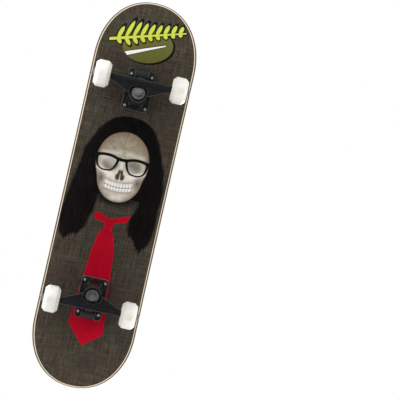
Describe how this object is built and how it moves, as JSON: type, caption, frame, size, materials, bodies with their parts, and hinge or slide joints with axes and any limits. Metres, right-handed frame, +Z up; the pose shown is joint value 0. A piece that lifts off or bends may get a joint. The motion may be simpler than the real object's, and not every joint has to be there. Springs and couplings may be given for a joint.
{
  "type": "skateboard",
  "caption": "Street skateboard: laminated maple deck with upturned ends and grip tape, sprung trucks, and white wheels on ball bearings.",
  "frame": {"origin": "on the floor under the middle of the deck's length and width, with the wheels standing on the floor", "axes": "+X along the deck to its front end, +Y to the left across the deck, +Z up from the wheels to the grip tape"},
  "size_m": [0.7874, 0.2032, 0.132],
  "materials": {
    "printed_maple": "maple veneer with a woven-cloth print, satin lacquer",
    "dyed_maple": "laminated maple core with dyed plies",
    "maple": "natural maple veneer",
    "grip_tape": "black silicon-carbide grit on cloth backing",
    "rubber_pad": "moulded rubber",
    "truck_black": "cast aluminium, satin black paint",
    "pivot_urethane": "moulded urethane",
    "bushing_urethane": "moulded urethane",
    "kingpin_steel": "zinc-plated steel",
    "dark_zinc": "black-zinc steel",
    "axle_steel": "turned steel",
    "bearing_steel": "ground bearing steel",
    "black_shield": "black bearing shield",
    "cage_nylon": "nylon ball cage",
    "bright_zinc": "bright zinc-plated steel",
    "wheel_urethane": "cast white urethane"
  },
  "bodies": {
    "board": {"deck_bottom_ply": "printed_maple", "deck_core": "dyed_maple", "deck_top_ply": "maple", "grip_tape": "grip_tape", "riser_pad_front": "rubber_pad", "baseplate_front": "truck_black", "pivot_cup_front": "pivot_urethane", "kingpin_front": "kingpin_steel", "kingpin_nut_front": "dark_zinc", "bushing_boardside_front": "bushing_urethane", "bushing_roadside_front": "bushing_urethane", "cup_washer_boardside_front": "dark_zinc", "cup_washer_roadside_front": "kingpin_steel", "mounting_bolts_front": "bright_zinc", "lock_nuts_front": "bright_zinc", "riser_pad_rear": "rubber_pad", "baseplate_rear": "truck_black", "pivot_cup_rear": "pivot_urethane", "kingpin_rear": "kingpin_steel", "kingpin_nut_rear": "dark_zinc", "bushing_boardside_rear": "bushing_urethane", "bushing_roadside_rear": "bushing_urethane", "cup_washer_boardside_rear": "dark_zinc", "cup_washer_roadside_rear": "kingpin_steel", "mounting_bolts_rear": "bright_zinc", "lock_nuts_rear": "bright_zinc"},
    "hanger_front": {"hanger_front": "truck_black", "axle_front": "axle_steel", "axle_nuts_front": "dark_zinc", "speed_washers_front": "axle_steel", "bearing_inner_rings_front": "bearing_steel", "bearing_spacers_front": "axle_steel"},
    "hanger_rear": {"hanger_rear": "truck_black", "axle_rear": "axle_steel", "axle_nuts_rear": "dark_zinc", "speed_washers_rear": "axle_steel", "bearing_inner_rings_rear": "bearing_steel", "bearing_spacers_rear": "axle_steel"},
    "wheel_front_left": {"wheel_front_left": "wheel_urethane", "bearing_outer_rings_front_left": "bearing_steel", "bearing_shields_front_left": "black_shield"},
    "ball_cages_front_left": {"bearing_cages_front_left": "cage_nylon", "bearing_balls_front_left": "bearing_steel"},
    "wheel_front_right": {"wheel_front_right": "wheel_urethane", "bearing_outer_rings_front_right": "bearing_steel", "bearing_shields_front_right": "black_shield"},
    "ball_cages_front_right": {"bearing_cages_front_right": "cage_nylon", "bearing_balls_front_right": "bearing_steel"},
    "wheel_rear_left": {"wheel_rear_left": "wheel_urethane", "bearing_outer_rings_rear_left": "bearing_steel", "bearing_shields_rear_left": "black_shield"},
    "ball_cages_rear_left": {"bearing_cages_rear_left": "cage_nylon", "bearing_balls_rear_left": "bearing_steel"},
    "wheel_rear_right": {"wheel_rear_right": "wheel_urethane", "bearing_outer_rings_rear_right": "bearing_steel", "bearing_shields_rear_right": "black_shield"},
    "ball_cages_rear_right": {"bearing_cages_rear_right": "cage_nylon", "bearing_balls_rear_right": "bearing_steel"}
  },
  "joints": [
    {"name": "truck_tilt_front", "type": "hinge", "parent": "board", "child": "hanger_front", "pos_m": [0.2334, 0, 0.0685], "axis": [0.7012, 0, 0.7129], "range_deg": [-10, 10], "stiffness_Nm_per_rad": 40, "deforming": ["bushing_boardside_front", "bushing_roadside_front"]},
    {"name": "truck_tilt_rear", "type": "hinge", "parent": "board", "child": "hanger_rear", "pos_m": [-0.2274, 0, 0.0685], "axis": [-0.7012, 0, 0.7129], "range_deg": [-10, 10], "stiffness_Nm_per_rad": 40, "deforming": ["bushing_boardside_rear", "bushing_roadside_rear"]},
    {"name": "wheel_spin_front_left", "type": "hinge", "parent": "hanger_front", "child": "wheel_front_left", "pos_m": [0.2274, 0.0763, 0.0265], "axis": [0, 1, 0], "continuous": true},
    {"name": "ball_cage_spin_front_left", "type": "hinge", "parent": "hanger_front", "child": "ball_cages_front_left", "pos_m": [0.2274, 0.0763, 0.0265], "axis": [0, 1, 0], "continuous": true},
    {"name": "wheel_spin_front_right", "type": "hinge", "parent": "hanger_front", "child": "wheel_front_right", "pos_m": [0.2274, -0.0763, 0.0265], "axis": [0, 1, 0], "continuous": true},
    {"name": "ball_cage_spin_front_right", "type": "hinge", "parent": "hanger_front", "child": "ball_cages_front_right", "pos_m": [0.2274, -0.0763, 0.0265], "axis": [0, 1, 0], "continuous": true},
    {"name": "wheel_spin_rear_left", "type": "hinge", "parent": "hanger_rear", "child": "wheel_rear_left", "pos_m": [-0.2214, 0.0763, 0.0265], "axis": [0, 1, 0], "continuous": true},
    {"name": "ball_cage_spin_rear_left", "type": "hinge", "parent": "hanger_rear", "child": "ball_cages_rear_left", "pos_m": [-0.2214, 0.0763, 0.0265], "axis": [0, 1, 0], "continuous": true},
    {"name": "wheel_spin_rear_right", "type": "hinge", "parent": "hanger_rear", "child": "wheel_rear_right", "pos_m": [-0.2214, -0.0763, 0.0265], "axis": [0, 1, 0], "continuous": true},
    {"name": "ball_cage_spin_rear_right", "type": "hinge", "parent": "hanger_rear", "child": "ball_cages_rear_right", "pos_m": [-0.2214, -0.0763, 0.0265], "axis": [0, 1, 0], "continuous": true}
  ],
  "couplings": [
    {"joint": "ball_cage_spin_front_left", "follows": "wheel_spin_front_left", "ratio": 0.6323},
    {"joint": "ball_cage_spin_front_right", "follows": "wheel_spin_front_right", "ratio": 0.6323},
    {"joint": "ball_cage_spin_rear_left", "follows": "wheel_spin_rear_left", "ratio": 0.6323},
    {"joint": "ball_cage_spin_rear_right", "follows": "wheel_spin_rear_right", "ratio": 0.6323}
  ]
}
